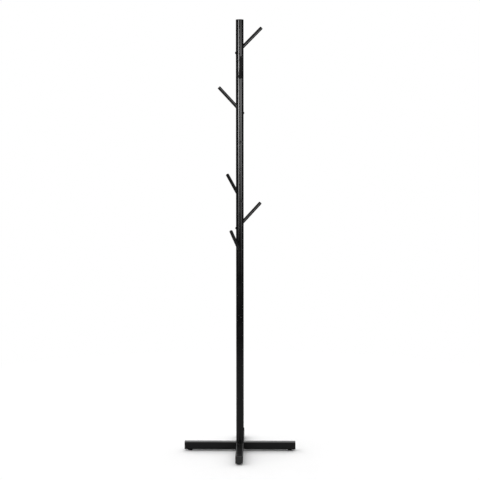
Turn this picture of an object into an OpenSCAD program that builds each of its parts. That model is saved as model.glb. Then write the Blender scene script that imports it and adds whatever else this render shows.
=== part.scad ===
// Standing coat rack: a round pole in three screwed sections, seven slanted pegs
// in a rising spiral, and a half-lapped cross base on four levelling feet.
// Millimetres, +Z up. The origin is on the floor, under the middle of the pole.
// The front arm of the base points along -Y.

/* [Pole] */
// Height from the floor to the crown of the top cap
rack_height = 1750; // [1650:5:1850]
// Outside diameter of the pole tube
pole_d = 31; // [28:1:34]
// Wall thickness of the pole tube
pole_wall = 1.5; // [1.2:0.1:2]
// Length of the top section with its cap, and of the middle section
section_length = 593; // [580:1:620]
// Chamfer round the outer edge of each tube end
tube_chamfer = 0.5; // [0.3:0.1:0.8]
// Length of the plug that joins two sections
joiner_length = 80; // [60:2:90]

/* [Pegs] */
// Diameter of the peg rod
peg_d = 13.5; // [10:0.5:14]
// Length of a peg from where its axis crosses the pole's axis to its tip
peg_length = 126; // [100:0.5:150]
// Slant of the pegs away from the pole
peg_slant = 45; // [40:1:50]
// Radius round the rim of a peg's tip
peg_rim = 1; // [0.5:0.1:2]
// Gap all round a peg where it goes through the pole's wall
peg_gap = 0.2; // [0.1:0.05:0.4]

/* [Top section pegs] */
// Drop of the first peg's crossing below the top of the rack
peg_1_drop = 121; // [100:1:130]
// Direction of the first peg, from the front towards the right
peg_1_turn = 101; // [0:1:359]
// Drop of the second peg
peg_2_drop = 242; // [230:1:255]
// Direction of the second peg
peg_2_turn = 5; // [0:1:359]
// Drop of the third peg
peg_3_drop = 359; // [345:1:370]
// Direction of the third peg
peg_3_turn = 290; // [0:1:359]
// Drop of the fourth peg
peg_4_drop = 475; // [460:1:490]
// Direction of the fourth peg
peg_4_turn = 185; // [0:1:359]

/* [Middle section pegs] */
// Drop of the fifth peg's crossing below the upper joint
peg_5_drop = 117; // [105:1:130]
// Direction of the fifth peg
peg_5_turn = 215; // [0:1:359]
// Drop of the sixth peg
peg_6_drop = 229; // [220:1:245]
// Direction of the sixth peg
peg_6_turn = 108; // [0:1:359]
// Drop of the seventh peg
peg_7_drop = 336; // [325:1:350]
// Direction of the seventh peg
peg_7_turn = 340; // [0:1:359]

/* [Base] */
// Overall length of each bar of the cross, with its end caps
bar_length = 455; // [400:5:560]
// Width and height of the square bars
bar_size = 30; // [30:1:36]
// Wall thickness of the bars
bar_wall = 2; // [1.5:0.1:2.5]
// Outside corner radius of the bars
bar_radius = 3; // [2.5:0.1:4]
// Side clearance in the half-lap
lap_gap = 0.15; // [0.1:0.05:0.3]
// Thickness of an end cap's face
cap_face = 2.5; // [2:0.1:4]

/* [Feet] */
// Diameter of a foot pad
foot_d = 19; // [16:0.5:24]
// Height of a foot pad, screwed right in
foot_height = 6; // [6:0.5:10]
// Distance of each foot's middle from the end of its bar
foot_inset = 22.5; // [22.5:0.5:60]
// Travel of a foot on its thread
foot_travel = 8; // [4:1:8]

/* [Hidden] */
$fn = 96;

// The four arms of the base, each a quarter turn on from the one before it
SIDES = ["right", "rear", "left", "front"];
ARMS = [0:3];

// The pegs, counted from the top: four in the top section and three in the middle one
PEGS = [0:6];
TOP_PEGS = [0:3];
MIDDLE_PEGS = [4:6];

// Colours
PAINT = "#1b1b1b";
MOULDED_BLACK = "#222222";
BLACK_STEEL = "#262626";
ZINC = "silver";
RUBBER = "#181818";

// How far a cutter runs past the face that it cuts
over = 1;

// Pole
pole_r = pole_d / 2;
bore_r = pole_r - pole_wall;
bar_bottom = foot_height;
bar_top = bar_bottom + bar_size;
bar_mid = bar_bottom + bar_size / 2;
upper_joint = rack_height - section_length;
lower_joint = upper_joint - section_length;

// Top cap
cap_thick = 3;
cap_crown = 1;
cap_rim = 1;
cap_plug = 14;
cap_plug_wall = 1.6;
plug_gap = 0.1;
plug_chamfer = 0.4;
tube_top = rack_height - cap_thick;

// Pegs
peg_r = peg_d / 2;
peg_z = concat(
    [for (drop = [peg_1_drop, peg_2_drop, peg_3_drop, peg_4_drop]) rack_height - drop],
    [for (drop = [peg_5_drop, peg_6_drop, peg_7_drop]) upper_joint - drop]
);
peg_turn = [
    peg_1_turn, peg_2_turn, peg_3_turn, peg_4_turn,
    peg_5_turn, peg_6_turn, peg_7_turn
];
// The mitred inner end stops short of the pole's far inner wall by the wall's own curve
mitre_y = sqrt(bore_r * bore_r - peg_r * peg_r) - plug_gap;
peg_tail = (mitre_y + peg_r) / sin(peg_slant) + peg_d;
// The screw stands a little above the middle of the mitred face
screw_lift = 0.4;
screw_drop = (mitre_y - screw_lift) / tan(peg_slant);

// Domed screw heads: how much taller the whole dome is than the head that is cut from it,
// and the share of the head's height that its socket goes down
dome_fullness = 1.07;
dome_socket_share = 0.55;

// M6 button-head peg screws
peg_screw_r = 3;
peg_screw_length = 8;
peg_screw_head_d = 10.5;
peg_screw_head_h = 3.3;
peg_screw_socket = 4;
screw_seat_gap = 0.02;
thread_gap = 0.05;
screw_hole_gap = 0.25;
peg_screw_tip = pole_r - peg_screw_length;
tap_overrun = 0.3;
peg_thread_end = peg_screw_tip - tap_overrun;

// Grub screws that lock the joiners
grub_r = 3;
grub_length = 8;
grub_drop = 9;
grub_recess = 0.6;
grub_socket = 3;
grub_socket_depth = 2.5;
grub_turn = 13;

// Base spigot, its bolt and its lock screw
spigot_length = 64;
spigot_r = bore_r - plug_gap;
spigot_chamfer = 1.5;
bolt_r = 4;
bolt_hole_r = 4.4;
bolt_length = 55;
bolt_head_d = 14;
bolt_head_h = 3.2;
bolt_socket = 5;
bolt_socket_depth = 2;
washer_r = 10;
washer_h = 1.2;
washer_chamfer = 0.2;
sleeve_r = 7;
lock_screw_z = 88;
lock_screw_turn = 90;
lock_screw_r = 3;
lock_screw_length = 12;
lock_head_d = 14;
lock_head_h = 1.5;
lock_socket = 4;

// End caps
cap_plug_depth = 11;
cap_plug_gap = 0.2;
cap_plug_skin = 1.6;
cap_plug_radius = 1;
cap_bevel = 0.7;

// Feet
foot_reach = bar_length / 2 - foot_inset;
stud_r = 3.95;
// A foot wound right out still has this much of its stud inside the bar, to fill its nut
stud_grip = 12;
stud_top = bar_bottom + foot_travel + stud_grip;
stud_bottom = 2.5;
nut_r = 4;
nut_across = 13;
nut_h = 8;
foot_hole_r = 4.5;
pad_rim = 1.6;
pad_gap = 0.1;

// Straight tube standing on the XY plane, with chamfered outer edges
module tube(outer, inner, length, chamfer) {
    rotate_extrude()
        polygon([
            [inner, 0],
            [outer - chamfer, 0],
            [outer, chamfer],
            [outer, length - chamfer],
            [outer - chamfer, length],
            [inner, length]
        ]);
}

// Solid round bar standing on the XY plane, with its top rim rounded
module rounded_rod(r, length, rim) {
    rotate_extrude() {
        square([r - rim, length]);
        square([r, length - rim]);
        translate([r - rim, length - rim])
            circle(rim);
    }
}

// Square with rounded corners, built from true arcs
module rounded_square(size, r) {
    square([size, size - 2 * r], center = true);
    square([size - 2 * r, size], center = true);
    for (x = [-1, 1], y = [-1, 1])
        translate([x * (size / 2 - r), y * (size / 2 - r)])
            circle(r);
}

// Domed screw head on the XY plane, with a hexagon socket in its crown
module dome_head(d, h, socket, socket_depth) {
    full_h = h * dome_fullness;
    dome_r = (d * d / 4 + full_h * full_h) / (2 * full_h);
    difference() {
        intersection() {
            translate([0, 0, full_h - dome_r])
                sphere(dome_r);
            cylinder(d = d, h = h);
        }
        translate([0, 0, h - socket_depth])
            cylinder(d = socket / cos(30), h = socket_depth + over, $fn = 6);
    }
}

// Button-head screw: head above the XY plane, shank below it
module dome_screw(head_d, head_h, socket, r, length) {
    dome_head(head_d, head_h, socket, head_h * dome_socket_share);
    translate([0, 0, -length])
        cylinder(r = r, h = length);
}

// Turns what is modelled along +Z so that it lies along the peg, rising to the front
module along_peg() {
    rotate([peg_slant, 0, 0])
        children();
}

// Places a part at a peg's crossing, turned to that peg's direction
module at_peg(i) {
    translate([0, 0, peg_z[i]])
        rotate([0, 0, peg_turn[i]])
            children();
}

// Places what is modelled along +Z so that it points out of the pole, at a height and turn
module out_of_pole(z, turn, r) {
    translate([0, 0, z])
        rotate([0, 0, turn])
            translate([0, -r, 0])
                rotate([90, 0, 0])
                    children();
}

// Slanted hole in the near wall and straight screw hole in the far wall for one peg
module peg_holes(i) {
    at_peg(i) {
        along_peg()
            cylinder(r = peg_r + peg_gap, h = 2 * pole_d);
        translate([0, 0, -screw_drop])
            rotate([-90, 0, 0])
                cylinder(r = peg_screw_r + screw_hole_gap, h = pole_d);
    }
}

module grub_hole(joint) {
    out_of_pole(joint - grub_drop, grub_turn, 0)
        cylinder(r = grub_r + screw_hole_gap, h = pole_d);
}

module pole_section(from, to) {
    translate([0, 0, from])
        tube(pole_r, bore_r, to - from, tube_chamfer);
}

module pole_top() {
    color(PAINT)
        difference() {
            pole_section(upper_joint, tube_top);
            for (i = TOP_PEGS)
                peg_holes(i);
        }
}

module pole_middle() {
    color(PAINT)
        difference() {
            pole_section(lower_joint, upper_joint);
            for (i = MIDDLE_PEGS)
                peg_holes(i);
            grub_hole(upper_joint);
        }
}

module pole_bottom() {
    color(PAINT)
        difference() {
            pole_section(bar_top, lower_joint);
            grub_hole(lower_joint);
            out_of_pole(lock_screw_z, lock_screw_turn, 0)
                cylinder(r = lock_screw_r + screw_hole_gap, h = pole_d);
        }
}

// Cap with a rounded rim, a low dome and a hollow plug down inside the top tube
module top_cap() {
    dome_r = pole_r - cap_rim;
    crown_r = (dome_r * dome_r + cap_crown * cap_crown) / (2 * cap_crown);
    color(MOULDED_BLACK) {
        translate([0, 0, tube_top])
            rounded_rod(pole_r, cap_thick - cap_crown, cap_rim);
        intersection() {
            translate([0, 0, rack_height - crown_r])
                sphere(crown_r, $fn = 192);
            translate([0, 0, tube_top])
                cylinder(r = dome_r, h = cap_thick);
        }
        translate([0, 0, tube_top - cap_plug])
            tube(bore_r - plug_gap, bore_r - plug_gap - cap_plug_wall, cap_plug, plug_chamfer);
    }
}

// Rod through the near wall, mitred upright where it meets the far wall and tapped for its screw
module peg(i) {
    color(PAINT)
        at_peg(i)
            difference() {
                along_peg()
                    translate([0, 0, -peg_tail])
                        rounded_rod(peg_r, peg_tail + peg_length, peg_rim);
                translate([-pole_d, mitre_y, -2 * pole_d])
                    cube([2 * pole_d, 2 * pole_d, 3 * pole_d]);
                translate([0, peg_thread_end, -screw_drop])
                    rotate([-90, 0, 0])
                        cylinder(r = peg_screw_r + thread_gap, h = pole_d);
            }
}

module peg_screw(i) {
    color(BLACK_STEEL)
        at_peg(i)
            translate([0, pole_r + screw_seat_gap, -screw_drop])
                rotate([-90, 0, 0])
                    dome_screw(
                        peg_screw_head_d, peg_screw_head_h, peg_screw_socket,
                        peg_screw_r, peg_screw_length
                    );
}

// Plug that bridges a joint, with a tapped cross hole below it
module joiner(joint) {
    color(ZINC)
        difference() {
            translate([0, 0, joint - joiner_length / 2])
                tube(spigot_r, bolt_hole_r, joiner_length, spigot_chamfer);
            out_of_pole(joint - grub_drop, grub_turn, 0)
                cylinder(r = grub_r + thread_gap, h = pole_d);
        }
}

module grub_screw(joint) {
    color(BLACK_STEEL)
        out_of_pole(joint - grub_drop, grub_turn, pole_r - grub_recess - grub_length)
            difference() {
                cylinder(r = grub_r, h = grub_length);
                translate([0, 0, grub_length - grub_socket_depth])
                    cylinder(d = grub_socket / cos(30), h = grub_socket_depth + over, $fn = 6);
            }
}

// Square tube lying along X at the height of the bars
module bar_tube() {
    length = bar_length - 2 * cap_face;
    translate([-length / 2, 0, bar_mid])
        rotate([90, 0, 90])
            linear_extrude(length)
                difference() {
                    rounded_square(bar_size, bar_radius);
                    rounded_square(bar_size - 2 * bar_wall, bar_radius - bar_wall);
                }
}

// Holes in the underside for the two studs of a bar, and one up through its middle
module bar_holes() {
    for (x = [-foot_reach, foot_reach])
        translate([x, 0, bar_bottom - over])
            cylinder(r = foot_hole_r, h = bar_wall + 2 * over);
    translate([0, 0, bar_bottom - over])
        cylinder(r = bolt_hole_r, h = bar_size + 2 * over);
}

// Left-to-right bar: its lower half is notched over the cross bar
module long_bar() {
    notch = bar_size + 2 * lap_gap;
    color(PAINT)
        difference() {
            bar_tube();
            bar_holes();
            translate([-notch / 2, -bar_size, bar_bottom - over])
                cube([notch, 2 * bar_size, bar_size / 2 + over]);
        }
}

// Front-to-rear bar: its upper half is notched under the long bar
module cross_bar() {
    notch = bar_size + 2 * lap_gap;
    color(PAINT)
        rotate([0, 0, 90])
            difference() {
                bar_tube();
                bar_holes();
                translate([-notch / 2, -bar_size, bar_mid])
                    cube([notch, 2 * bar_size, bar_size / 2 + over]);
            }
}

// One wedge for each edge of an end cap's face
module cap_bevels() {
    for (turn = [0:90:270])
        rotate([turn, 0, 0])
            translate([cap_face, 0, bar_size / 2 - cap_bevel])
                rotate([0, 45, 0])
                    translate([-bar_size / 2, -bar_size, 0])
                        cube([bar_size, 2 * bar_size, bar_size]);
}

// Plastic cap: a bevelled face, and a hollow plug that grips the bar's inside
module end_cap(arm) {
    plug = bar_size - 2 * bar_wall - 2 * cap_plug_gap;
    color(MOULDED_BLACK)
        rotate([0, 0, 90 * arm])
            translate([bar_length / 2 - cap_face, 0, bar_mid]) {
                difference() {
                    rotate([90, 0, 90])
                        linear_extrude(cap_face)
                            rounded_square(bar_size, bar_radius);
                    cap_bevels();
                }
                translate([-cap_plug_depth, 0, 0])
                    rotate([90, 0, 90])
                        linear_extrude(cap_plug_depth)
                            difference() {
                                rounded_square(plug, cap_plug_radius);
                                rounded_square(plug - 2 * cap_plug_skin, cap_plug_radius);
                            }
            }
}

// Turned plug that stands on the long bar inside the pole
module base_spigot() {
    color(ZINC)
        translate([0, 0, bar_top])
            difference() {
                tube(spigot_r, bolt_r + thread_gap, spigot_length, spigot_chamfer);
                out_of_pole(lock_screw_z - bar_top, lock_screw_turn, 0)
                    cylinder(r = lock_screw_r + thread_gap, h = pole_d);
            }
}

// Spacer that keeps the lapped bars from crushing when the bolt is tightened
module crush_sleeve() {
    color(ZINC)
        translate([0, 0, bar_bottom + bar_wall])
            tube(sleeve_r, bolt_hole_r, bar_size - 2 * bar_wall, plug_chamfer);
}

module base_washer() {
    color(ZINC)
        translate([0, 0, bar_bottom - washer_h])
            tube(washer_r, bolt_hole_r, washer_h, washer_chamfer);
}

// Low-head bolt up through both bars into the spigot
module base_bolt() {
    color(BLACK_STEEL)
        translate([0, 0, bar_bottom - washer_h])
            difference() {
                union() {
                    translate([0, 0, -bolt_head_h])
                        cylinder(d = bolt_head_d, h = bolt_head_h);
                    cylinder(r = bolt_r, h = bolt_length);
                }
                translate([0, 0, -bolt_head_h - over])
                    cylinder(d = bolt_socket / cos(30), h = bolt_socket_depth + over, $fn = 6);
            }
}

module pole_lock_screw() {
    color(BLACK_STEEL)
        out_of_pole(lock_screw_z, lock_screw_turn, pole_r + screw_seat_gap)
            dome_screw(lock_head_d, lock_head_h, lock_socket, lock_screw_r, lock_screw_length);
}

// Places a foot's piece under one arm
module at_foot(arm) {
    rotate([0, 0, 90 * arm])
        translate([foot_reach, 0, 0])
            children();
}

// Hexagon weld nut on the inside of the bar's lower wall
module foot_nut(arm) {
    color(ZINC)
        at_foot(arm)
            translate([0, 0, bar_bottom + bar_wall])
                difference() {
                    cylinder(d = nut_across / cos(30), h = nut_h, $fn = 6);
                    translate([0, 0, -over])
                        cylinder(r = nut_r, h = nut_h + 2 * over);
                }
}

module foot_stud(arm) {
    color(ZINC)
        at_foot(arm)
            translate([0, 0, stud_bottom])
                cylinder(r = stud_r, h = stud_top - stud_bottom);
}

// Round pad moulded on the stud, with its lower rim rounded
module foot_pad(arm) {
    color(RUBBER)
        at_foot(arm)
            difference() {
                translate([0, 0, bar_bottom - pad_gap])
                    mirror([0, 0, 1])
                        rounded_rod(foot_d / 2, bar_bottom - pad_gap, pad_rim);
                translate([0, 0, stud_bottom])
                    cylinder(r = nut_r, h = foot_height);
            }
}

pole_top();
pole_middle();
pole_bottom();
top_cap();
for (i = PEGS)
    peg(i);
for (i = PEGS)
    peg_screw(i);
joiner(upper_joint);  // joiner_upper
joiner(lower_joint);  // joiner_lower
grub_screw(upper_joint);  // joint_screw_upper
grub_screw(lower_joint);  // joint_screw_lower
long_bar();
cross_bar();
for (arm = ARMS)
    end_cap(arm);
base_spigot();
crush_sleeve();
base_bolt();
base_washer();
pole_lock_screw();
for (arm = ARMS)
    foot_nut(arm);
for (arm = ARMS)
    foot_stud(arm);
for (arm = ARMS)
    foot_pad(arm);
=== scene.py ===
import math

import bpy
from mathutils import Matrix, Vector


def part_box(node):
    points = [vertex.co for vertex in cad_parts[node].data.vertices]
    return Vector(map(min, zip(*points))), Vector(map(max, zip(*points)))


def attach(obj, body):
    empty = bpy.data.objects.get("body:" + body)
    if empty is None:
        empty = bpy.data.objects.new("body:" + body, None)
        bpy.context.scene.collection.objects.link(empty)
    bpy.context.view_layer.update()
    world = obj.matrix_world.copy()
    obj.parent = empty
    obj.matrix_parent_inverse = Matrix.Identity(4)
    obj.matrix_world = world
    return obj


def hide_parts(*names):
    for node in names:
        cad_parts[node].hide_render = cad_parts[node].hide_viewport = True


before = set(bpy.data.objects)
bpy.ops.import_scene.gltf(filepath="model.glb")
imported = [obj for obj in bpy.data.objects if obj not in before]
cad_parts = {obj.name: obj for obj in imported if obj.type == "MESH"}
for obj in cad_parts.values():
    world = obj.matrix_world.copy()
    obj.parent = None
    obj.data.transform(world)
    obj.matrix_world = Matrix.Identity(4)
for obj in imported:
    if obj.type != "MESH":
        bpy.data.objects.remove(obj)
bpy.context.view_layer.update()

# ---------------------------------------------------------------- Sizes in metres, and counts
MM = 0.001
FULL_TURN = 2 * math.pi
QUARTER = math.pi / 2
WELD = 0.002 * MM
SMOOTH_ANGLE = math.radians(32)

# Cosines that say a face or edge points along a direction, across it, or stands upright
ALONG = 0.9
ACROSS = 0.1
UPRIGHT = 0.05

SIDES = ("right", "rear", "left", "front")
PEGS = range(1, 8)
UPPER_PEGS = (1, 2, 3, 4)
LOWER_PEGS = (5, 6, 7)

# Pole
POLE_WALL = 1.5 * MM
POLE_SIDES = 128
TUBE_EDGE = 0.5 * MM
TUBE_INNER_EDGE = 0.2 * MM

# Top cap
CAP_CROWN = 1 * MM
CAP_RIM = 1 * MM
CAP_RIM_START = 82
CAP_SKIN = 1.6 * MM
CAP_PLUG_EDGE = 0.4 * MM

# Pegs
PEG_R = 6.75 * MM
PEG_LENGTH = 126 * MM
PEG_SLANT = math.radians(45)
PEG_RIM = 1 * MM
PEG_TAIL = 40 * MM
PEG_SIDES = 64
PEG_GAP = 0.2 * MM
PLUG_GAP = 0.1 * MM

# Peg screws: M6, domed
SCREW_R = 3 * MM
SCREW_LENGTH = 8 * MM
SCREW_HEAD_R = 5.25 * MM
SCREW_HEAD_H = 3.3 * MM
SCREW_SOCKET = 4 * MM
SCREW_HOLE_GAP = 0.25 * MM
THREAD_GAP = 0.05 * MM
TAP_OVERRUN = 0.3 * MM

# Any domed screw: rim and socket as shares of its head's height, flat crown as a share of its radius
HEAD_RIM = 0.12
HEAD_SOCKET = 0.55
HEAD_CROWN = 0.36
SCREW_POINT = 0.4 * MM
SCREW_SIDES = 48

# Grub screws in the two joints of the pole
GRUB_R = 3 * MM
GRUB_LENGTH = 8 * MM
GRUB_EDGE = 0.35 * MM
GRUB_POINT = 1.2 * MM
GRUB_POINT_R = 1.6 * MM
GRUB_SOCKET = 3 * MM
GRUB_SOCKET_DEPTH = 2.5 * MM
GRUB_RECESS = 0.6 * MM
GRUB_SIDES = 40

# Lock screw low on the pole
LOCK_R = 3 * MM
LOCK_LENGTH = 12 * MM
LOCK_HEAD_R = 7 * MM
LOCK_HEAD_H = 1.5 * MM
LOCK_SOCKET = 4 * MM

# Base
BAR_RADIUS = 3 * MM
BAR_EDGE_STEPS = 8
BAR_WALL = 2 * MM
LAP_GAP = 0.15 * MM
OVERCUT = 2 * MM
CAP_BEVEL = 0.8 * MM
CAP_BEVEL_STEPS = 4
CAP_PLUG_INSET = 2.2 * MM
CAP_PLUG_SKIN = 1.6 * MM
BOLT_R = 4 * MM
BOLT_HOLE_R = 4.4 * MM
BOLT_SOCKET = 5 * MM
BOLT_SOCKET_DEPTH = 2 * MM
BOLT_EDGE = 0.5 * MM
BOLT_SEAT_EDGE = 0.2 * MM
WASHER_EDGE = 0.25 * MM
BOLT_SIDES = 64

# Feet
FOOT_HOLE_R = 4.5 * MM
THREAD_PITCH = 1.25 * MM
THREAD_DEPTH = 0.68 * MM
THREAD_RUNOUT = 1 * MM
THREAD_SLOPE = 1.3
THREAD_CREST = 0.15
RINGS_PER_PITCH = 8
STUD_SIDES = 32
PAD_RIM = 1.6 * MM
PAD_SHOULDER = 0.6 * MM
PAD_DISH = 0.5 * MM
PAD_DISH_R = 5.5 * MM
PAD_HOLE_EDGE = 0.1 * MM
PAD_GRIPS = 24
PAD_FLUTE_EDGE = 0.2 * MM
PAD_FLUTE_DEPTH = 0.35 * MM


# ---------------------------------------------------------------- Hand tools
def rest_hands():
    """Back to object mode, with nothing selected."""
    if bpy.context.mode != "OBJECT":
        bpy.ops.object.mode_set(mode="OBJECT")
    bpy.ops.object.select_all(action="DESELECT")


def take(piece):
    """Selects one piece, and nothing else."""
    rest_hands()
    piece.select_set(True)
    bpy.context.view_layer.objects.active = piece


def named(name):
    """Names the piece that was just added, and its mesh."""
    piece = bpy.context.object
    piece.name = name
    piece.data.name = name
    return piece


def mark(piece, kind, test):
    """Goes into edit mode with only the faces or edges selected that pass a test of their middle
    and their normal (a face) or direction (an edge)."""
    take(piece)
    bpy.ops.object.mode_set(mode="EDIT")
    bpy.ops.mesh.select_mode(type=kind)
    bpy.ops.mesh.select_all(action="DESELECT")
    bpy.ops.object.mode_set(mode="OBJECT")
    mesh = piece.data
    if kind == "FACE":
        for face in mesh.polygons:
            face.select = test(face.center, face.normal)
    else:
        for edge in mesh.edges:
            start, end = (mesh.vertices[v].co for v in edge.vertices)
            edge.select = test((start + end) / 2, (end - start).normalized())
    bpy.ops.object.mode_set(mode="EDIT")


def apply_modifier(piece, kind, **settings):
    """Adds a modifier with its settings and applies it."""
    take(piece)
    modifier = piece.modifiers.new(kind.lower(), kind)
    for key, value in settings.items():
        setattr(modifier, key, value)
    bpy.ops.object.modifier_apply(modifier=modifier.name)


def settle(piece, place=(0, 0, 0), turn=(0, 0, 0)):
    """Turns and moves a piece from the origin to its place, and keeps that in its mesh."""
    take(piece)
    piece.rotation_euler = turn
    piece.location = place
    bpy.ops.object.transform_apply(location=True, rotation=True, scale=True)


def copy_of(piece, name):
    """A second piece of the same shape, with its own mesh."""
    take(piece)
    bpy.ops.object.duplicate(linked=False)
    return named(name)


def arc(centre_r, centre_z, radius, start, end, steps):
    """Points of an outline along an arc, from one angle to another in degrees above outwards."""
    angles = [math.radians(start + (end - start) * i / steps) for i in range(steps + 1)]
    return [(centre_r + radius * math.cos(a), centre_z + radius * math.sin(a)) for a in angles]


def turned(name, outline, sides):
    """A piece spun about Z from its outline of (radius, height) points."""
    rest_hands()
    bpy.ops.mesh.primitive_plane_add(size=MM, location=(0, 0, 0))
    piece = named(name)
    bpy.ops.object.mode_set(mode="EDIT")
    bpy.ops.mesh.select_mode(type="VERT")
    bpy.ops.mesh.select_all(action="SELECT")
    bpy.ops.mesh.merge(type="CENTER")
    bpy.ops.transform.translate(value=(outline[0][0], 0, outline[0][1]))
    for (r, z), (next_r, next_z) in zip(outline, outline[1:]):
        step = {"value": (next_r - r, 0, next_z - z)}
        bpy.ops.mesh.extrude_region_move(TRANSFORM_OT_translate=step)
    bpy.ops.mesh.select_all(action="SELECT")
    bpy.ops.mesh.spin(steps=sides, angle=FULL_TURN, center=(0, 0, 0), axis=(0, 0, 1))
    bpy.ops.mesh.select_all(action="SELECT")
    bpy.ops.mesh.remove_doubles(threshold=WELD)
    bpy.ops.mesh.normals_make_consistent(inside=False)
    rest_hands()
    return piece


def drill(radius, length, sides=64, start=0):
    """A cutter: a rod that stands on the XY plane, or starts at another height."""
    rest_hands()
    bpy.ops.mesh.primitive_cylinder_add(
        vertices=sides, radius=radius, depth=length, location=(0, 0, start + length / 2))
    cutter = named("drill")
    settle(cutter, cutter.location)
    return cutter


def hex_broach(across, depth):
    """A cutter for a hexagon socket: a six-sided rod with a drill point at its lower end."""
    corner = across / 2 / math.cos(math.pi / 6)
    cutter = drill(corner, 2 * depth, sides=6, start=-depth)
    mark(cutter, "FACE", lambda middle, normal: normal.z < -ALONG)
    bpy.ops.mesh.extrude_region_move(TRANSFORM_OT_translate={"value": (0, 0, -corner / 3)})
    bpy.ops.mesh.merge(type="CENTER")
    rest_hands()
    return cutter


def block(size, place):
    """A cutter: a plain block."""
    rest_hands()
    bpy.ops.mesh.primitive_cube_add(size=1, location=place, scale=size)
    cutter = named("block")
    bpy.ops.object.transform_apply(location=True, rotation=True, scale=True)
    return cutter


def cut(piece, *cutters):
    """Cuts the cutters out of a piece, and throws them away."""
    for cutter in cutters:
        apply_modifier(piece, "BOOLEAN", operation="DIFFERENCE", solver="EXACT", object=cutter)
        bpy.data.objects.remove(cutter)


def smooth(piece):
    """Smooth shading that keeps the real edges, with the flat faces kept flat."""
    take(piece)
    bpy.ops.object.shade_smooth_by_angle(angle=SMOOTH_ANGLE)
    apply_modifier(piece, "WEIGHTED_NORMAL", keep_sharp=True, weight=100)


def keep_own_place(piece):
    """Stores each point's place on the piece itself, for patterns that go round the piece's axis."""
    own = piece.data.attributes.new("own_place", "FLOAT_VECTOR", "POINT")
    for value, vertex in zip(own.data, piece.data.vertices):
        value.vector = vertex.co


def fit(piece, material, slot, body, *nodes):
    """Gives a finished piece its material and body, and hides the CAD nodes that it stands for."""
    piece.data.materials.clear()
    piece.data.materials.append(material)
    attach(piece, body)
    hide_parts(*nodes)


# ---------------------------------------------------------------- Places, read from the frame
def middle_of(node):
    """Middle of a node's box."""
    low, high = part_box(node)
    return (low + high) / 2


def turn_of(node):
    """Where a node lies round the pole: 0 is the front, a quarter turn is the right."""
    middle = middle_of(node)
    return math.atan2(middle.x, -middle.y)


def out_of_pole(radius, height, turn):
    """Place and turn of a piece that points out of the pole."""
    place = (radius * math.sin(turn), -radius * math.cos(turn), height)
    return place, (QUARTER, 0, turn)


POLE_R = (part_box("pole_middle")[1].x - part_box("pole_middle")[0].x) / 2
BORE_R = POLE_R - POLE_WALL
MITRE_Y = math.sqrt(BORE_R ** 2 - PEG_R ** 2) - PLUG_GAP
BAR_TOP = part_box("long_bar")[1].z
BAR_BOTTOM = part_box("long_bar")[0].z
BAR_SIZE = BAR_TOP - BAR_BOTTOM
BAR_MID = (BAR_TOP + BAR_BOTTOM) / 2
FOOT_REACH = middle_of("foot_pad_right").x


def peg_turn(i):
    """A peg points away from its screw."""
    return turn_of(f"peg_screw_{i}") + math.pi


def peg_crossing(i):
    """Height at which a peg's axis crosses the pole's, from the top of the peg's tip."""
    reach = PEG_LENGTH - PEG_RIM
    rise = reach * math.cos(PEG_SLANT) + (PEG_R - PEG_RIM) * math.sin(PEG_SLANT) + PEG_RIM
    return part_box(f"peg_{i}")[1].z - rise


def screw_height(i):
    """Height of a peg screw's axis."""
    return middle_of(f"peg_screw_{i}").z


# ---------------------------------------------------------------- Shader groups
def link(tree, source, socket):
    tree.links.new(source, socket)


def new_group(name, inputs, outputs):
    """A shader group with named sockets; inputs are (name, kind, default)."""
    group = bpy.data.node_groups.new(name, "ShaderNodeTree")
    for label, kind, default in inputs:
        socket = group.interface.new_socket(label, in_out="INPUT", socket_type=kind)
        socket.default_value = default
    for label, kind in outputs:
        group.interface.new_socket(label, in_out="OUTPUT", socket_type=kind)
    return group, group.nodes.new("NodeGroupInput"), group.nodes.new("NodeGroupOutput")


def noise(tree, place, scale, detail):
    """Soft noise over a place; its scale is a number or another node's output."""
    node = tree.nodes.new("ShaderNodeTexNoise")
    node.inputs["Detail"].default_value = detail
    link(tree, place, node.inputs["Vector"])
    if isinstance(scale, (int, float)):
        node.inputs["Scale"].default_value = scale
    else:
        link(tree, scale, node.inputs["Scale"])
    return node.outputs["Fac"]


def sum_of(tree, operation, first, second=None, third=None, clamp=False):
    """A Math node; each of its values is a number or another node's output."""
    node = tree.nodes.new("ShaderNodeMath")
    node.operation = operation
    node.use_clamp = clamp
    for socket, value in zip(node.inputs, (first, second, third)):
        if value is None:
            continue
        if isinstance(value, (int, float)):
            socket.default_value = value
        else:
            link(tree, value, socket)
    return node.outputs[0]


def ramp(tree, value, low, high, to_low=0.0, to_high=1.0):
    """A soft step of a value, from one range to another."""
    node = tree.nodes.new("ShaderNodeMapRange")
    node.interpolation_type = "SMOOTHSTEP"
    link(tree, value, node.inputs["Value"])
    for label, number in zip(("From Min", "From Max", "To Min", "To Max"), (low, high, to_low, to_high)):
        node.inputs[label].default_value = number
    return node.outputs["Result"]


def distance_from_z(tree, split):
    """How far a place, split into X, Y and Z, lies from the Z axis."""
    x, y = split.outputs["X"], split.outputs["Y"]
    return sum_of(tree, "SQRT", sum_of(tree, "MULTIPLY_ADD", x, x, sum_of(tree, "MULTIPLY", y, y)))


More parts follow.
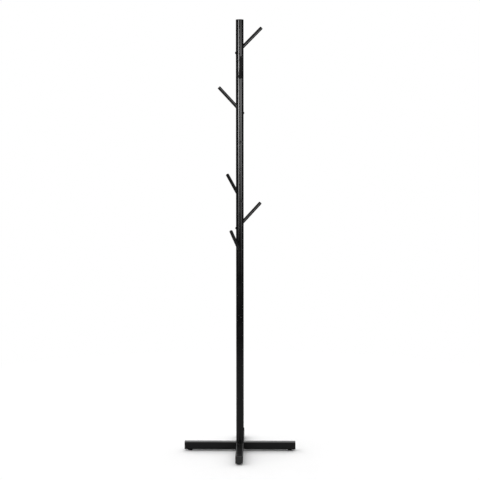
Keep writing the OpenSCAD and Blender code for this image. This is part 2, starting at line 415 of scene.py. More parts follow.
def orange_peel_group():
    """The slow ripple and fine grain of a powder coat, as a height in millimetres."""
    group, given, out = new_group(
        "orange_peel",
        [("Place", "NodeSocketVector", (0, 0, 0)), ("Ripples per Metre", "NodeSocketFloat", 700.0),
         ("Grain", "NodeSocketFloat", 0.25)],
        [("Height", "NodeSocketFloat"), ("Patches", "NodeSocketFloat")])
    place = given.outputs["Place"]
    ripple = noise(group, place, given.outputs["Ripples per Metre"], 1.0)
    grain = noise(group, place, sum_of(group, "MULTIPLY", given.outputs["Ripples per Metre"], 6.0), 1.0)
    height = sum_of(group, "MULTIPLY_ADD", grain, given.outputs["Grain"], ripple)
    link(group, height, out.inputs["Height"])
    link(group, noise(group, place, 24.0, 3.0), out.inputs["Patches"])
    return group


def edge_wear_and_sheen_group():
    """A mask of the outside edges, where the coat is thin and hands and coats polish it; the materials also
    use it to paint a lighter edge highlight into the colour.
    """
    group, given, out = new_group(
        "edge_wear_and_sheen",
        [("Place", "NodeSocketVector", (0, 0, 0)), ("Width", "NodeSocketFloat", 0.6 * MM)],
        [("Mask", "NodeSocketFloat")])
    rounded = group.nodes.new("ShaderNodeBevel")
    rounded.samples = 4
    link(group, given.outputs["Width"], rounded.inputs["Radius"])
    surface = group.nodes.new("ShaderNodeNewGeometry")
    agree = group.nodes.new("ShaderNodeVectorMath")
    agree.operation = "DOT_PRODUCT"
    link(group, rounded.outputs["Normal"], agree.inputs[0])
    link(group, surface.outputs["Normal"], agree.inputs[1])
    edge = ramp(group, agree.outputs["Value"], 0.98, 0.8)
    broken = ramp(group, noise(group, given.outputs["Place"], 90.0, 4.0), 0.35, 0.65, 0.35, 1.0)
    link(group, sum_of(group, "MULTIPLY", edge, broken), out.inputs["Mask"])
    return group


def dust_group():
    """A mask of the dust that settles on faces that look up."""
    group, given, out = new_group(
        "settled_dust",
        [("Place", "NodeSocketVector", (0, 0, 0)), ("Amount", "NodeSocketFloat", 0.1)],
        [("Mask", "NodeSocketFloat")])
    surface = group.nodes.new("ShaderNodeNewGeometry")
    split = group.nodes.new("ShaderNodeSeparateXYZ")
    link(group, surface.outputs["Normal"], split.inputs[0])
    up = ramp(group, split.outputs["Z"], 0.35, 1.0)
    specks = ramp(group, noise(group, given.outputs["Place"], 1400.0, 3.0), 0.5, 0.75)
    drift = ramp(group, noise(group, given.outputs["Place"], 35.0, 4.0), 0.3, 0.7, 0.3, 1.0)
    settled = sum_of(group, "MULTIPLY", sum_of(group, "MULTIPLY_ADD", specks, 0.5, 0.5), drift)
    mask = sum_of(group, "MULTIPLY", sum_of(group, "MULTIPLY", up, settled), given.outputs["Amount"])
    link(group, mask, out.inputs["Mask"])
    return group


def moulded_grain_group():
    """Spark-eroded grain of a moulded part, as a height, with slow flow marks as patches."""
    group, given, out = new_group(
        "moulded_grain",
        [("Place", "NodeSocketVector", (0, 0, 0)), ("Grains per Metre", "NodeSocketFloat", 2600.0)],
        [("Height", "NodeSocketFloat"), ("Patches", "NodeSocketFloat")])
    place = given.outputs["Place"]
    pits = group.nodes.new("ShaderNodeTexVoronoi")
    link(group, place, pits.inputs["Vector"])
    link(group, given.outputs["Grains per Metre"], pits.inputs["Scale"])
    fine = noise(group, place, sum_of(group, "MULTIPLY", given.outputs["Grains per Metre"], 1.7), 2.0)
    link(group, sum_of(group, "MULTIPLY_ADD", fine, 0.6, pits.outputs["Distance"]), out.inputs["Height"])
    link(group, noise(group, place, 60.0, 2.0), out.inputs["Patches"])
    return group


def turned_marks_group():
    """Fine rings that a lathe tool leaves round the piece's own axis."""
    group, given, out = new_group(
        "turned_marks",
        [("Place", "NodeSocketVector", (0, 0, 0)), ("Marks per Metre", "NodeSocketFloat", 4000.0)],
        [("Height", "NodeSocketFloat"), ("Patches", "NodeSocketFloat")])
    split = group.nodes.new("ShaderNodeSeparateXYZ")
    link(group, given.outputs["Place"], split.inputs[0])
    ring = group.nodes.new("ShaderNodeCombineXYZ")
    link(group, distance_from_z(group, split), ring.inputs["X"])
    link(group, split.outputs["Z"], ring.inputs["Y"])
    link(group, noise(group, ring.outputs[0], given.outputs["Marks per Metre"], 2.0), out.inputs["Height"])
    link(group, noise(group, given.outputs["Place"], 400.0, 3.0), out.inputs["Patches"])
    return group


ORANGE_PEEL = orange_peel_group()
EDGE_WEAR_AND_SHEEN = edge_wear_and_sheen_group()
DUST = dust_group()
MOULDED_GRAIN = moulded_grain_group()
TURNED_MARKS = turned_marks_group()


# ---------------------------------------------------------------- Materials
def use(tree, group, place, **values):
    """Places a shader group, fed with the surface's place and its own values."""
    node = tree.nodes.new("ShaderNodeGroup")
    node.node_tree = group
    link(tree, place, node.inputs["Place"])
    for label, value in values.items():
        node.inputs[label.replace("_", " ")].default_value = value
    return node.outputs


def grey(value, tint=(1.0, 1.0, 1.0)):
    """A grey of a linear value, with a slight tint."""
    return (value * tint[0], value * tint[1], value * tint[2], 1.0)


COAT_IOR = 1.5
PLASTIC_IOR = 1.46
RUBBER_IOR = 1.5
COAT_DUST = grey(0.22, (1.0, 0.97, 0.93))
PLASTIC_DUST = grey(0.25)
RUBBER_DUST = grey(0.12)
RUBBER_DUST_TOP = 2.5 * MM


def blend_colours(tree, mask, under, over):
    """A colour mix by a mask; each colour is a tuple or another node's output."""
    node = tree.nodes.new("ShaderNodeMix")
    node.data_type = "RGBA"
    link(tree, mask, node.inputs["Factor"])
    sockets = [s for s in node.inputs if s.type == "RGBA"]
    for socket, colour in zip(sockets, (under, over)):
        if isinstance(colour, tuple):
            socket.default_value = colour
        else:
            link(tree, colour, socket)
    return [s for s in node.outputs if s.type == "RGBA"][0]


def new_material(name, own_place=False):
    """A material with its shader, and the place that its patterns read."""
    material = bpy.data.materials.new(name)
    material.use_nodes = True
    tree = material.node_tree
    shader = tree.nodes["Principled BSDF"]
    if own_place:
        source = tree.nodes.new("ShaderNodeAttribute")
        source.attribute_name = "own_place"
        return material, tree, shader, source.outputs["Vector"]
    source = tree.nodes.new("ShaderNodeTexCoord")
    return material, tree, shader, source.outputs["Object"]


def uneven(tree, patches, low, high):
    """A value that drifts over the surface between two limits."""
    return ramp(tree, patches, 0.3, 0.7, low, high)


def bump(tree, shader, height, distance, strength):
    """Turns a height, over a distance in metres, into the shader's normal."""
    node = tree.nodes.new("ShaderNodeBump")
    node.inputs["Distance"].default_value = distance
    node.inputs["Strength"].default_value = strength
    link(tree, height, node.inputs["Height"])
    link(tree, node.outputs["Normal"], shader.inputs["Normal"])


def powder_coat(name, base, rough, dust):
    """Black powder coat: a faint orange peel, thinner and glossier at the edges with a painted lighter edge
    highlight, a little dust.
    """
    material, tree, shader, place = new_material(name)
    peel = use(tree, ORANGE_PEEL, place)
    edges = use(tree, EDGE_WEAR_AND_SHEEN, place)["Mask"]
    dusty = use(tree, DUST, place, Amount=dust)["Mask"]
    coat = blend_colours(tree, peel["Patches"], grey(base * 0.8), grey(base * 1.2))
    # Edges painted three times lighter: partly the thin, rubbed coat, partly a painted edge highlight.
    worn_and_highlit = blend_colours(tree, sum_of(tree, "MULTIPLY", edges, 0.35), coat, grey(base * 3))
    colour = blend_colours(tree, dusty, worn_and_highlit, COAT_DUST)
    link(tree, colour, shader.inputs["Base Color"])
    patchy = uneven(tree, peel["Patches"], rough - 0.03, rough + 0.04)
    polished = sum_of(tree, "MULTIPLY_ADD", edges, -0.06, patchy)
    link(tree, sum_of(tree, "MULTIPLY_ADD", dusty, 0.5, polished, clamp=True), shader.inputs["Roughness"])
    shader.inputs["IOR"].default_value = COAT_IOR
    bump(tree, shader, peel["Height"], 0.02 * MM, 0.2)
    return material


def moulded_plastic(name, base, rough, dust):
    """Grained black plastic with soft flow marks, and a painted lighter edge highlight."""
    material, tree, shader, place = new_material(name)
    grain = use(tree, MOULDED_GRAIN, place)
    edges = use(tree, EDGE_WEAR_AND_SHEEN, place, Width=0.5 * MM)["Mask"]
    dusty = use(tree, DUST, place, Amount=dust)["Mask"]
    body = blend_colours(tree, grain["Patches"], grey(base * 0.85), grey(base * 1.15))
    # Edges painted twice as light: partly rubbed wear, partly a painted edge highlight.
    worn_and_highlit = blend_colours(tree, sum_of(tree, "MULTIPLY", edges, 0.3), body, grey(base * 2))
    link(tree, blend_colours(tree, dusty, worn_and_highlit, PLASTIC_DUST), shader.inputs["Base Color"])
    patchy = uneven(tree, grain["Patches"], rough - 0.05, rough + 0.05)
    link(tree, sum_of(tree, "MULTIPLY_ADD", edges, -0.1, patchy), shader.inputs["Roughness"])
    shader.inputs["IOR"].default_value = PLASTIC_IOR
    bump(tree, shader, grain["Height"], 0.03 * MM, 0.6)
    return material


def foot_rubber(name):
    """Dull black rubber, dustier where it meets the floor."""
    material, tree, shader, place = new_material(name)
    grain = use(tree, MOULDED_GRAIN, place, Grains_per_Metre=1500.0)
    split = tree.nodes.new("ShaderNodeSeparateXYZ")
    link(tree, place, split.inputs[0])
    near_floor = ramp(tree, split.outputs["Z"], RUBBER_DUST_TOP, 0.0, 0.0, 0.35)
    scuffed = sum_of(tree, "MULTIPLY", near_floor, grain["Patches"])
    body = blend_colours(tree, grain["Patches"], grey(0.010), grey(0.016))
    link(tree, blend_colours(tree, scuffed, body, RUBBER_DUST), shader.inputs["Base Color"])
    link(tree, uneven(tree, grain["Patches"], 0.68, 0.82), shader.inputs["Roughness"])
    shader.inputs["IOR"].default_value = RUBBER_IOR
    bump(tree, shader, grain["Height"], 0.05 * MM, 0.7)
    return material


def turned_metal(name, dark, light, rough, own_place):
    """Machined metal with lathe marks, a slightly uneven finish and a painted brighter edge highlight."""
    material, tree, shader, place = new_material(name, own_place)
    marks = use(tree, TURNED_MARKS, place)
    edges = use(tree, EDGE_WEAR_AND_SHEEN, place, Width=0.25 * MM)["Mask"]
    finish = blend_colours(tree, marks["Patches"], dark, light)
    # Edges painted brighter: partly worn bare metal, partly a painted edge highlight.
    bright = tuple(min(1.0, c * 2.2) for c in light[:3]) + (1.0,)
    link(tree, blend_colours(tree, sum_of(tree, "MULTIPLY", edges, 0.4), finish, bright),
         shader.inputs["Base Color"])
    shader.inputs["Metallic"].default_value = 1.0
    patchy = uneven(tree, marks["Patches"], rough - 0.05, rough + 0.08)
    link(tree, patchy, shader.inputs["Roughness"])
    bump(tree, shader, marks["Height"], 0.01 * MM, 0.5)
    return material


POLE_PAINT = powder_coat("pole_powder_coat", 0.006, 0.175, 0.02)
PEG_PAINT = powder_coat("peg_powder_coat", 0.007, 0.18, 0.02)
BAR_PAINT = powder_coat("bar_powder_coat", 0.006, 0.16, 0.03)
CAP_PLASTIC = moulded_plastic("end_cap_plastic", 0.048, 0.42, 0.03)
TOP_PLASTIC = moulded_plastic("top_cap_plastic", 0.014, 0.34, 0.05)
RUBBER = foot_rubber("foot_pad_rubber")
BLACK_OXIDE = turned_metal("black_oxide_screws", grey(0.035), grey(0.06), 0.33, own_place=True)
DARK_ZINC, LIGHT_ZINC = grey(0.42, (1, 1.01, 1.04)), grey(0.58, (1, 1.0, 1.02))
ZINC = turned_metal("zinc_plate", DARK_ZINC, LIGHT_ZINC, 0.32, own_place=True)
INNER_ZINC = turned_metal("inner_zinc_plate", DARK_ZINC, LIGHT_ZINC, 0.32, own_place=False)


# ---------------------------------------------------------------- Pole
def tube_outline(low_z, high_z):
    """Closed outline of a tube whose outer edges are rounded, and inner edges just broken."""
    edge, broken = TUBE_EDGE, TUBE_INNER_EDGE
    return [
        (BORE_R, high_z - broken), (BORE_R, low_z + broken), (BORE_R + broken, low_z),
        *arc(POLE_R - edge, low_z + edge, edge, -90, 0, 5),
        *arc(POLE_R - edge, high_z - edge, edge, 0, 90, 5),
        (BORE_R + broken, high_z), (BORE_R, high_z - broken),
    ]


def peg_hole_cutters(i):
    """The slanted hole that a peg goes in by, and the hole for its screw opposite."""
    height, turn = peg_crossing(i), peg_turn(i)
    slanted = drill(PEG_R + PEG_GAP, 4 * POLE_R)
    settle(slanted, (0, 0, height), (PEG_SLANT, 0, turn))
    straight = drill(SCREW_R + SCREW_HOLE_GAP, 2 * POLE_R)
    settle(straight, *out_of_pole(0, screw_height(i), turn + math.pi))
    return slanted, straight


def cross_hole_cutter(node, radius):
    """A hole through one wall, where a node points out of the pole."""
    cutter = drill(radius + SCREW_HOLE_GAP, 2 * POLE_R)
    settle(cutter, *out_of_pole(0, middle_of(node).z, turn_of(node)))
    return cutter


def ring_cut(piece, height):
    """A ring of edges round a piece at a height, so that a hole's facets stay near it."""
    take(piece)
    bpy.ops.object.mode_set(mode="EDIT")
    bpy.ops.mesh.select_all(action="SELECT")
    bpy.ops.mesh.bisect(plane_co=(0, 0, height), plane_no=(0, 0, 1))
    rest_hands()


def pole_section(name, node, cutters):
    """One tube of the pole, with its holes cut."""
    low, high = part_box(node)
    piece = turned(name, tube_outline(low.z, high.z), POLE_SIDES)
    for cutter in cutters:
        heights = [corner[2] for corner in cutter.bound_box]
        for height in (min(heights), max(heights)):
            if low.z + TUBE_EDGE < height < high.z - TUBE_EDGE:
                ring_cut(piece, height)
    cut(piece, *cutters)
    smooth(piece)
    fit(piece, POLE_PAINT, "pole_paint", "frame", node)


def pole():
    """The three tubes, from the top down."""
    pole_section("top_pole_tube", "pole_top", [c for i in UPPER_PEGS for c in peg_hole_cutters(i)])
    pole_section(
        "middle_pole_tube", "pole_middle",
        [*(c for i in LOWER_PEGS for c in peg_hole_cutters(i)),
         cross_hole_cutter("joint_screw_upper", GRUB_R)])
    pole_section(
        "bottom_pole_tube", "pole_bottom",
        [cross_hole_cutter("joint_screw_lower", GRUB_R), cross_hole_cutter("pole_lock_screw", LOCK_R)])


def crowned_cap():
    """Plastic top cap: a crowned disc with a rounded rim and a hollow plug."""
    low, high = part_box("top_cap")
    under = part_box("pole_top")[1].z
    flat_r = POLE_R - CAP_RIM
    crown_r = (flat_r ** 2 + CAP_CROWN ** 2) / (2 * CAP_CROWN)
    spread = math.degrees(math.asin(flat_r / crown_r))
    plug_r = BORE_R - PLUG_GAP
    outline = [
        *arc(0, high.z - crown_r, crown_r, 90, 90 - spread, 8),
        *arc(flat_r, high.z - CAP_CROWN - CAP_RIM, CAP_RIM, CAP_RIM_START, 0, 6),
        (POLE_R, under), (plug_r, under),
        (plug_r, low.z + CAP_PLUG_EDGE), (plug_r - CAP_PLUG_EDGE, low.z),
        (plug_r - CAP_SKIN, low.z), (plug_r - CAP_SKIN, under), (0, under),
    ]
    piece = turned("crowned_cap", outline, POLE_SIDES)
    smooth(piece)
    fit(piece, TOP_PLASTIC, "cap_plastic", "frame", "top_cap")


# ---------------------------------------------------------------- Pegs and their screws
def plain_peg():
    """Peg at the origin, facing front: a rod with a rounded tip, mitred upright behind, and tapped."""
    outline = [
        (0, -PEG_TAIL), (PEG_R, -PEG_TAIL),
        *arc(PEG_R - PEG_RIM, PEG_LENGTH - PEG_RIM, PEG_RIM, 0, 90, 8),
        (0, PEG_LENGTH),
    ]
    piece = turned("coat_peg", outline, PEG_SIDES)
    settle(piece, turn=(PEG_SLANT, 0, 0))
    take(piece)
    bpy.ops.object.mode_set(mode="EDIT")
    bpy.ops.mesh.select_all(action="SELECT")
    bpy.ops.mesh.bisect(plane_co=(0, MITRE_Y, 0), plane_no=(0, 1, 0), use_fill=True, clear_outer=True)
    rest_hands()
    tap = drill(SCREW_R + THREAD_GAP, 2 * POLE_R, start=POLE_R - SCREW_LENGTH - TAP_OVERRUN)
    settle(tap, (0, 0, screw_height(1) - peg_crossing(1)), (-QUARTER, 0, 0))
    cut(piece, tap)
    smooth(piece)
    return piece


def domed_screw(name, head_r, head_h, socket, shank_r, length):
    """Domed screw at the origin, its head above the XY plane, with a hexagon socket."""
    rim, crown_r = HEAD_RIM * head_h, HEAD_CROWN * head_r
    rise, run = head_h - rim, head_r - crown_r
    dome_r = (rise ** 2 + run ** 2) / (2 * rise)
    sweep = math.degrees(math.asin(min(1.0, run / dome_r)))
    outline = [
        (0, -length), (shank_r - SCREW_POINT, -length), (shank_r, -length + SCREW_POINT), (shank_r, 0),
        (head_r - rim / 2, 0), (head_r, rim / 2),
        *arc(crown_r, head_h - dome_r, dome_r, 90 - sweep, 90, 9),
        (0, head_h),
    ]
    piece = turned(name, outline, SCREW_SIDES)
    broach = hex_broach(socket, HEAD_SOCKET * head_h)
    settle(broach, (0, 0, head_h))
    cut(piece, broach)
    smooth(piece)
    keep_own_place(piece)
    return piece


def coat_pegs():
    """The seven pegs and their screws, each copied from one pattern piece."""
    peg = plain_peg()
    screw = domed_screw("peg_button_screw", SCREW_HEAD_R, SCREW_HEAD_H, SCREW_SOCKET, SCREW_R, SCREW_LENGTH)
    for i in PEGS:
        own_peg = copy_of(peg, f"coat_peg_{i}")
        settle(own_peg, (0, 0, peg_crossing(i)), (0, 0, peg_turn(i)))
        fit(own_peg, PEG_PAINT, "peg_paint", "frame", f"peg_{i}")
        own_screw = copy_of(screw, f"peg_button_screw_{i}")
        settle(own_screw, *out_of_pole(POLE_R, screw_height(i), peg_turn(i) + math.pi))
        fit(own_screw, BLACK_OXIDE, "black_screws", "frame", f"peg_screw_{i}")
    bpy.data.objects.remove(peg)
    bpy.data.objects.remove(screw)


def grub_screws():
    """Headless screws that lock the pole's joints, sunk a little below the tube's face."""
    outline = [
        (0, -GRUB_LENGTH), (GRUB_POINT_R, -GRUB_LENGTH), (GRUB_R, -GRUB_LENGTH + GRUB_POINT),
        (GRUB_R, -GRUB_EDGE), (GRUB_R - GRUB_EDGE, 0), (0, 0),
    ]
    grub = turned("joint_grub", outline, GRUB_SIDES)
    cut(grub, hex_broach(GRUB_SOCKET, GRUB_SOCKET_DEPTH))
    smooth(grub)
    keep_own_place(grub)
    for place in ("upper", "lower"):
        node = f"joint_screw_{place}"
        own = copy_of(grub, f"joint_grub_{place}")
        settle(own, *out_of_pole(POLE_R - GRUB_RECESS, middle_of(node).z, turn_of(node)))
        fit(own, BLACK_OXIDE, "black_screws", "frame", node)
    bpy.data.objects.remove(grub)


def lock_button():
    """The low domed screw near the foot of the pole."""
    piece = domed_screw("pole_lock_button", LOCK_HEAD_R, LOCK_HEAD_H, LOCK_SOCKET, LOCK_R, LOCK_LENGTH)
    node = "pole_lock_screw"
    settle(piece, *out_of_pole(POLE_R, middle_of(node).z, turn_of(node)))
    fit(piece, BLACK_OXIDE, "black_screws", "frame", node)


# ---------------------------------------------------------------- Base
def square_tube(name, node):
    """Square bar along X or Y: a block with rounded long edges, opened at its ends and hollowed."""
    low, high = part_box(node)
    size = high - low
    along = Vector((1, 0, 0)) if size.x > size.y else Vector((0, 1, 0))
    rest_hands()
    bpy.ops.mesh.primitive_cube_add(size=1, location=(low + high) / 2, scale=size)
    piece = named(name)
    bpy.ops.object.transform_apply(location=True, rotation=True, scale=True)
    mark(piece, "EDGE", lambda middle, way: abs(way.dot(along)) > ALONG)
    bpy.ops.mesh.bevel(offset=BAR_RADIUS, segments=BAR_EDGE_STEPS, affect="EDGES")
    mark(piece, "FACE", lambda middle, normal: abs(normal.dot(along)) > ALONG)
    bpy.ops.mesh.delete(type="ONLY_FACE")
    rest_hands()
    apply_modifier(piece, "SOLIDIFY", thickness=BAR_WALL, offset=-1, use_even_offset=True, use_rim=True)
    for reach in (-FOOT_REACH, FOOT_REACH):
        hole = drill(FOOT_HOLE_R, 2 * BAR_WALL, start=BAR_BOTTOM - BAR_WALL / 2)
        settle(hole, along * reach)
        cut(piece, hole)
    cut(piece, drill(BOLT_HOLE_R, 2 * BAR_SIZE))
    return piece


def half_lap(piece, size, low_z):
    """Cuts the notch where the two bars cross."""
    width, depth = BAR_SIZE + 2 * LAP_GAP, BAR_SIZE / 2 + OVERCUT
    shape = (width, 2 * BAR_SIZE, depth) if size.x > size.y else (2 * BAR_SIZE, width, depth)
    cut(piece, block(shape, (0, 0, low_z + depth / 2)))


def base_bars():
    """The two bars of the cross: one is notched from below, the other from above."""
    for name, node, low_z in (("left_right_bar", "long_bar", BAR_BOTTOM - OVERCUT),
                              ("front_rear_bar", "cross_bar", BAR_MID)):
        low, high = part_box(node)
        piece = square_tube(name, node)
        half_lap(piece, high - low, low_z)
        smooth(piece)
        fit(piece, BAR_PAINT, "bar_paint", "frame", node)


def right_end_cap():
    """Cap of the right-hand arm: a bevelled face, with a hollow plug behind it."""
    low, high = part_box("end_cap_right")
    face_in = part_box("long_bar")[1].x
    depth = high.x - face_in
    rest_hands()
    middle = ((high.x + face_in) / 2, 0, BAR_MID)
    bpy.ops.mesh.primitive_cube_add(size=1, location=middle, scale=(depth, BAR_SIZE, BAR_SIZE))
    piece = named("bar_end_cap")
    bpy.ops.object.transform_apply(location=True, rotation=True, scale=True)
    mark(piece, "EDGE", lambda middle, way: abs(way.x) > ALONG)
    bpy.ops.mesh.bevel(offset=BAR_RADIUS, segments=BAR_EDGE_STEPS, affect="EDGES")
    mark(piece, "EDGE", lambda middle, way: abs(way.x) < ACROSS and middle.x > high.x - WELD)
    bpy.ops.mesh.bevel(offset=CAP_BEVEL, segments=CAP_BEVEL_STEPS, affect="EDGES")
    mark(piece, "FACE", lambda middle, normal: normal.x < -ALONG)
    bpy.ops.mesh.inset(thickness=CAP_PLUG_INSET, depth=0)
    bpy.ops.mesh.extrude_region_move(TRANSFORM_OT_translate={"value": (low.x - face_in, 0, 0)})
    bpy.ops.mesh.inset(thickness=CAP_PLUG_SKIN, depth=0)
    bpy.ops.mesh.extrude_region_move(TRANSFORM_OT_translate={"value": (face_in - low.x, 0, 0)})
    rest_hands()
    smooth(piece)
    return piece


def end_caps():
    """The right-hand cap, copied and turned to the four arms."""
    cap = right_end_cap()
    for quarter, side in enumerate(SIDES):
        own = copy_of(cap, f"bar_end_cap_{side}")
        settle(own, turn=(0, 0, quarter * QUARTER))
        fit(own, CAP_PLASTIC, "cap_plastic", "frame", f"end_cap_{side}")
    bpy.data.objects.remove(cap)


def base_fixings():
    """The bolt up through the base, with its washer."""
    low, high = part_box("base_bolt")
    washer_low, washer_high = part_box("base_washer")
    head_r, edge = high.x, BOLT_EDGE
    outline = [
        (0, low.z), (head_r - edge, low.z), *arc(head_r - edge, low.z + edge, edge, -90, 0, 4),
        (head_r, washer_low.z - BOLT_SEAT_EDGE), (head_r - BOLT_SEAT_EDGE, washer_low.z),
        (BOLT_R, washer_low.z), (BOLT_R, high.z - edge), (BOLT_R - edge, high.z), (0, high.z),
    ]
    bolt = turned("base_low_head_bolt", outline, BOLT_SIDES)
    socket = hex_broach(BOLT_SOCKET, BOLT_SOCKET_DEPTH)
    settle(socket, (0, 0, low.z), (math.pi, 0, 0))
    cut(bolt, socket)
    smooth(bolt)
    keep_own_place(bolt)
    fit(bolt, BLACK_OXIDE, "black_screws", "frame", "base_bolt")
    outer, edge = washer_high.x, WASHER_EDGE
    outline = [
        (BOLT_HOLE_R, washer_high.z), (BOLT_HOLE_R, washer_low.z),
        *arc(outer - edge, washer_low.z + edge, edge, -90, 0, 3),
        *arc(outer - edge, washer_high.z - edge, edge, 0, 90, 3),
        (BOLT_HOLE_R, washer_high.z),
    ]
    washer = turned("base_plate_washer", outline, BOLT_SIDES)
    smooth(washer)
    keep_own_place(washer)
    fit(washer, ZINC, "zinc_steel", "frame", "base_washer")


# ---------------------------------------------------------------- Feet
def threaded_stud():
    """Stud of the right-hand foot, at the origin: a rod whose side is moved into a screw thread."""
    low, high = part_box("foot_stud_right")
    outer = (high.x - low.x) / 2
    length = high.z - low.z
    rings = round(length / THREAD_PITCH * RINGS_PER_PITCH)
    outline = [(0, 0), *((outer, length * i / rings) for i in range(rings + 1)), (0, length)]
    piece = turned("levelling_stud", outline, STUD_SIDES)
    for vertex in piece.data.vertices:
        radius = math.hypot(vertex.co.x, vertex.co.y)
        if radius < outer / 2:
            continue
        turn = math.atan2(vertex.co.y, vertex.co.x) / FULL_TURN
        phase = (vertex.co.z / THREAD_PITCH - turn) % 1.0
        flank = min(1.0, max(0.0, abs(2 * phase - 1) * THREAD_SLOPE - THREAD_CREST))
        runout = max(0.0, 1 - (length - vertex.co.z) / THREAD_RUNOUT)
        new_radius = outer - THREAD_DEPTH * max(flank, runout)
        vertex.co.x *= new_radius / radius
        vertex.co.y *= new_radius / radius
    smooth(piece)
    keep_own_place(piece)
    settle(piece, (FOOT_REACH, 0, low.z))
    return piece


def rubber_pad():
    """Pad of the right-hand foot: a turned disc with a floor ring, a blind hole and grip flutes."""
    low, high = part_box("foot_pad_right")
    outer = (high.x - low.x) / 2
    stud_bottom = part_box("foot_stud_right")[0].z
    top = high.z
    outline = [
        (0, PAD_DISH), (PAD_DISH_R, PAD_DISH), (PAD_DISH_R + PAD_DISH, 0),
        *arc(outer - PAD_RIM, PAD_RIM, PAD_RIM, -90, 0, 6),
        *arc(outer - PAD_SHOULDER, top - PAD_SHOULDER, PAD_SHOULDER, 0, 90, 4),
        (BOLT_R + PAD_HOLE_EDGE, top), (BOLT_R, top - PAD_HOLE_EDGE),
        (BOLT_R, stud_bottom), (0, stud_bottom),
    ]
    piece = turned("foot_pad", outline, 2 * PAD_GRIPS)
    step = FULL_TURN / PAD_GRIPS

    def is_flute(middle, normal):
        upright = abs(normal.z) < UPRIGHT and math.hypot(middle.x, middle.y) > outer - PAD_RIM / 2
        return upright and (math.atan2(middle.y, middle.x) % step) < step / 2

    mark(piece, "FACE", is_flute)
    bpy.ops.mesh.inset(thickness=PAD_FLUTE_EDGE, depth=-PAD_FLUTE_DEPTH, use_individual=True)
    rest_hands()
    smooth(piece)
    settle(piece, (FOOT_REACH, 0, low.z))
    return piece


def feet():
    """The right-hand foot, copied and turned to the four arms; each rides on its own body."""
    stud, pad = threaded_stud(), rubber_pad()
    for quarter, side in enumerate(SIDES):
        turn = (0, 0, quarter * QUARTER)
        own_stud = copy_of(stud, f"levelling_stud_{side}")
        settle(own_stud, turn=turn)
        fit(own_stud, ZINC, "zinc_steel", f"foot_{side}", f"foot_stud_{side}")
        own_pad = copy_of(pad, f"grip_pad_{side}")
        settle(own_pad, turn=turn)
        fit(own_pad, RUBBER, "foot_rubber", f"foot_{side}", f"foot_pad_{side}")
    bpy.data.objects.remove(stud)
    bpy.data.objects.remove(pad)


def inner_steel():
    """The CAD pieces that stay: the plugs in the pole's joints, the base's spigot, sleeve and nuts."""
    kept = ["joiner_upper", "joiner_lower", "base_spigot", "crush_sleeve"]
    for node in kept + [f"foot_nut_{side}" for side in SIDES]:
        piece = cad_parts[node]
        for material_slot in piece.material_slots:
            material_slot.link = "OBJECT"
            material_slot.material = INNER_ZINC


# ---------------------------------------------------------------- Studio
# Floor: its paint, what it gives back to the rack, and where it sweeps up into white
FLOOR_R = 2.2
FLOOR_SIDES = 128
FLOOR_SHADES = (0.85, 0.86)
FLOOR_BOUNCE = 0.22
SWEEP_START = 0.5
SWEEP_END = 1.2

# Diffuse light from all round: an even part, and parts that change along X and Y
DOME_EVEN = 1.2
DOME_X = -0.45
DOME_Y = 0.85
DOME_LEAST = 0.05

# What shines in the coat: the wall behind, the ceiling and the dark rest, as strengths and fades
WALL_GLOSS = 0.75
WALL_FADE = (0.2, 0.7)
HORIZON_FADE = (0.1, 0.22)
CEILING_GLOSS = 0.25
CEILING_FADE = (0.55, 0.95)
DARK_GLOSS = 0.04

# Lights and camera: distance in metres, focal length in millimetres, angles in degrees
STRIP_DISTANCE = 2.0
LENS = 91.27
EYE = (0.0822, -4.9033, 1.3318)
YAW_PITCH_ROLL = (0.954, -5.407, 0.049)


def pale_floor():
    """A round pale floor that the camera sees fade into white."""
    rest_hands()
    bpy.ops.mesh.primitive_circle_add(vertices=FLOOR_SIDES, radius=FLOOR_R, fill_type="NGON")
    floor = named("studio_floor")
    material, tree, shader, place = new_material("studio_floor_paint")
    even = ramp(tree, noise(tree, place, 3.0, 3.0), 0.3, 0.7)
    pale = blend_colours(tree, even, *(grey(shade) for shade in FLOOR_SHADES))
    path = tree.nodes.new("ShaderNodeLightPath")
    split = tree.nodes.new("ShaderNodeSeparateXYZ")
    link(tree, place, split.inputs[0])
    sweep = ramp(tree, distance_from_z(tree, split), SWEEP_START, SWEEP_END)
    faded = blend_colours(tree, sweep, pale, grey(0.0))
    seen = path.outputs["Is Camera Ray"]
    link(tree, blend_colours(tree, seen, grey(FLOOR_BOUNCE), faded), shader.inputs["Base Color"])
    link(tree, sum_of(tree, "MULTIPLY", sweep, seen), shader.inputs["Emission Strength"])
    shader.inputs["Emission Color"].default_value = grey(1.0)
    shader.inputs["Roughness"].default_value = 0.9
    shader.inputs["Specular IOR Level"].default_value = 0.1
    floor.data.materials.append(material)


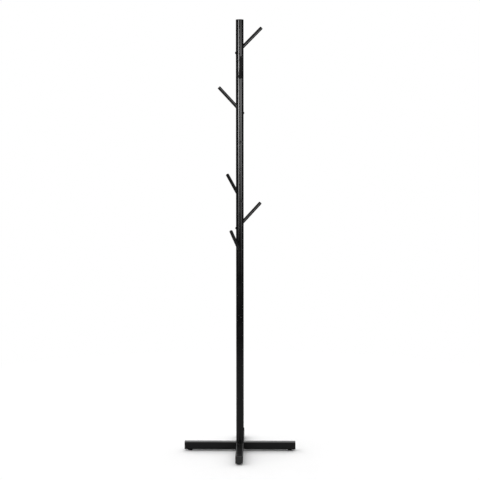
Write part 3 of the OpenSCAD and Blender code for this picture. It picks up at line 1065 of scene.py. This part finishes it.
def strip_light(name, turn, width, low, high, radiance, fade_low, fade_high, lean):
    """Tall soft strip that faces the pole, fading towards its lower and upper ends; a lean brings
    the lower fade further up on its inner side."""
    height = high - low
    lamp = bpy.data.lights.new(name, "AREA")
    lamp.shape = "RECTANGLE"
    lamp.size = width
    lamp.size_y = height
    lamp.energy = radiance * math.pi * width * height
    lamp.use_nodes = True
    tree = lamp.node_tree
    emission = tree.nodes["Emission"]
    surface = tree.nodes.new("ShaderNodeNewGeometry")
    split = tree.nodes.new("ShaderNodeSeparateXYZ")
    link(tree, surface.outputs["Parametric"], split.inputs[0])
    leaning = sum_of(tree, "MULTIPLY_ADD", split.outputs["X"], lean, split.outputs["Y"])
    rise = ramp(tree, leaning, *fade_low)
    fall = ramp(tree, split.outputs["Y"], 1.0, 1.0 - fade_high)
    link(tree, sum_of(tree, "MULTIPLY", rise, fall), emission.inputs["Strength"])
    light = bpy.data.objects.new(name, lamp)
    bpy.context.scene.collection.objects.link(light)
    place = (STRIP_DISTANCE * math.sin(turn), -STRIP_DISTANCE * math.cos(turn), (low + high) / 2)
    light.matrix_world = (Matrix.Translation(place) @ Matrix.Rotation(turn, 4, "Z")
                          @ Matrix.Rotation(QUARTER, 4, "X"))
    light.visible_camera = False
    light.visible_diffuse = False


def studio_world():
    """White to the camera, a dome that is brighter behind and to the left for diffuse light, and a
    dark studio with a bright back wall in reflections."""
    world = bpy.data.worlds.new("studio")
    bpy.context.scene.world = world
    world.use_nodes = True
    tree = world.node_tree
    tree.nodes.clear()
    output = tree.nodes.new("ShaderNodeOutputWorld")
    path = tree.nodes.new("ShaderNodeLightPath")
    way = tree.nodes.new("ShaderNodeTexCoord")
    split = tree.nodes.new("ShaderNodeSeparateXYZ")
    link(tree, way.outputs["Generated"], split.inputs[0])
    behind = ramp(tree, split.outputs["Y"], *WALL_FADE)
    above_horizon = ramp(tree, split.outputs["Z"], *HORIZON_FADE)
    wall = sum_of(tree, "MULTIPLY", behind, above_horizon)
    ceiling = ramp(tree, split.outputs["Z"], *CEILING_FADE, 0.0, CEILING_GLOSS)
    reflected = sum_of(tree, "ADD", sum_of(tree, "MULTIPLY_ADD", wall, WALL_GLOSS, ceiling), DARK_GLOSS)
    sideways = sum_of(tree, "MULTIPLY_ADD", split.outputs["X"], DOME_X, DOME_EVEN)
    dome = sum_of(tree, "MULTIPLY_ADD", split.outputs["Y"], DOME_Y, sideways)
    dome = sum_of(tree, "MAXIMUM", dome, DOME_LEAST)
    lit = sum_of(tree, "MULTIPLY", path.outputs["Is Diffuse Ray"], dome)
    glossy = sum_of(tree, "MULTIPLY", path.outputs["Is Glossy Ray"], reflected)
    shown = sum_of(tree, "ADD", sum_of(tree, "ADD", lit, glossy), path.outputs["Is Camera Ray"])
    background = tree.nodes.new("ShaderNodeBackground")
    background.inputs["Color"].default_value = grey(1.0)
    link(tree, shown, background.inputs["Strength"])
    link(tree, background.outputs[0], output.inputs["Surface"])


def camera():
    """At standing eye height in front, a little to the right, looking slightly down."""
    lens = bpy.data.cameras.new("camera")
    lens.sensor_width = 36
    lens.lens = LENS
    lens.clip_end = 50
    eye = bpy.data.objects.new("camera", lens)
    bpy.context.scene.collection.objects.link(eye)
    yaw, pitch, roll = (math.radians(angle) for angle in YAW_PITCH_ROLL)
    look = (Matrix.Rotation(yaw, 4, "Z") @ Matrix.Rotation(QUARTER + pitch, 4, "X")
            @ Matrix.Rotation(-roll, 4, "Z"))
    eye.matrix_world = Matrix.Translation(EYE) @ look
    bpy.context.scene.camera = eye


def studio():
    """The floor, the lights and the camera."""
    pale_floor()
    studio_world()
    strip_light("left_strip", turn=math.radians(-30), width=0.75, low=0.55, high=2.12,
                radiance=14.0, fade_low=(0.0, 0.65), fade_high=0.25, lean=0.0)
    strip_light("right_strip", turn=math.radians(36), width=1.9, low=0.45, high=2.1,
                radiance=3.6, fade_low=(0.18, 0.8), fade_high=0.3, lean=0.3)
    bpy.context.scene.view_settings.view_transform = "Standard"
    camera()


# ---------------------------------------------------------------- The rack
pole()
crowned_cap()
coat_pegs()
grub_screws()
lock_button()
base_bars()
end_caps()
base_fixings()
feet()
inner_steel()
studio()
rest_hands()
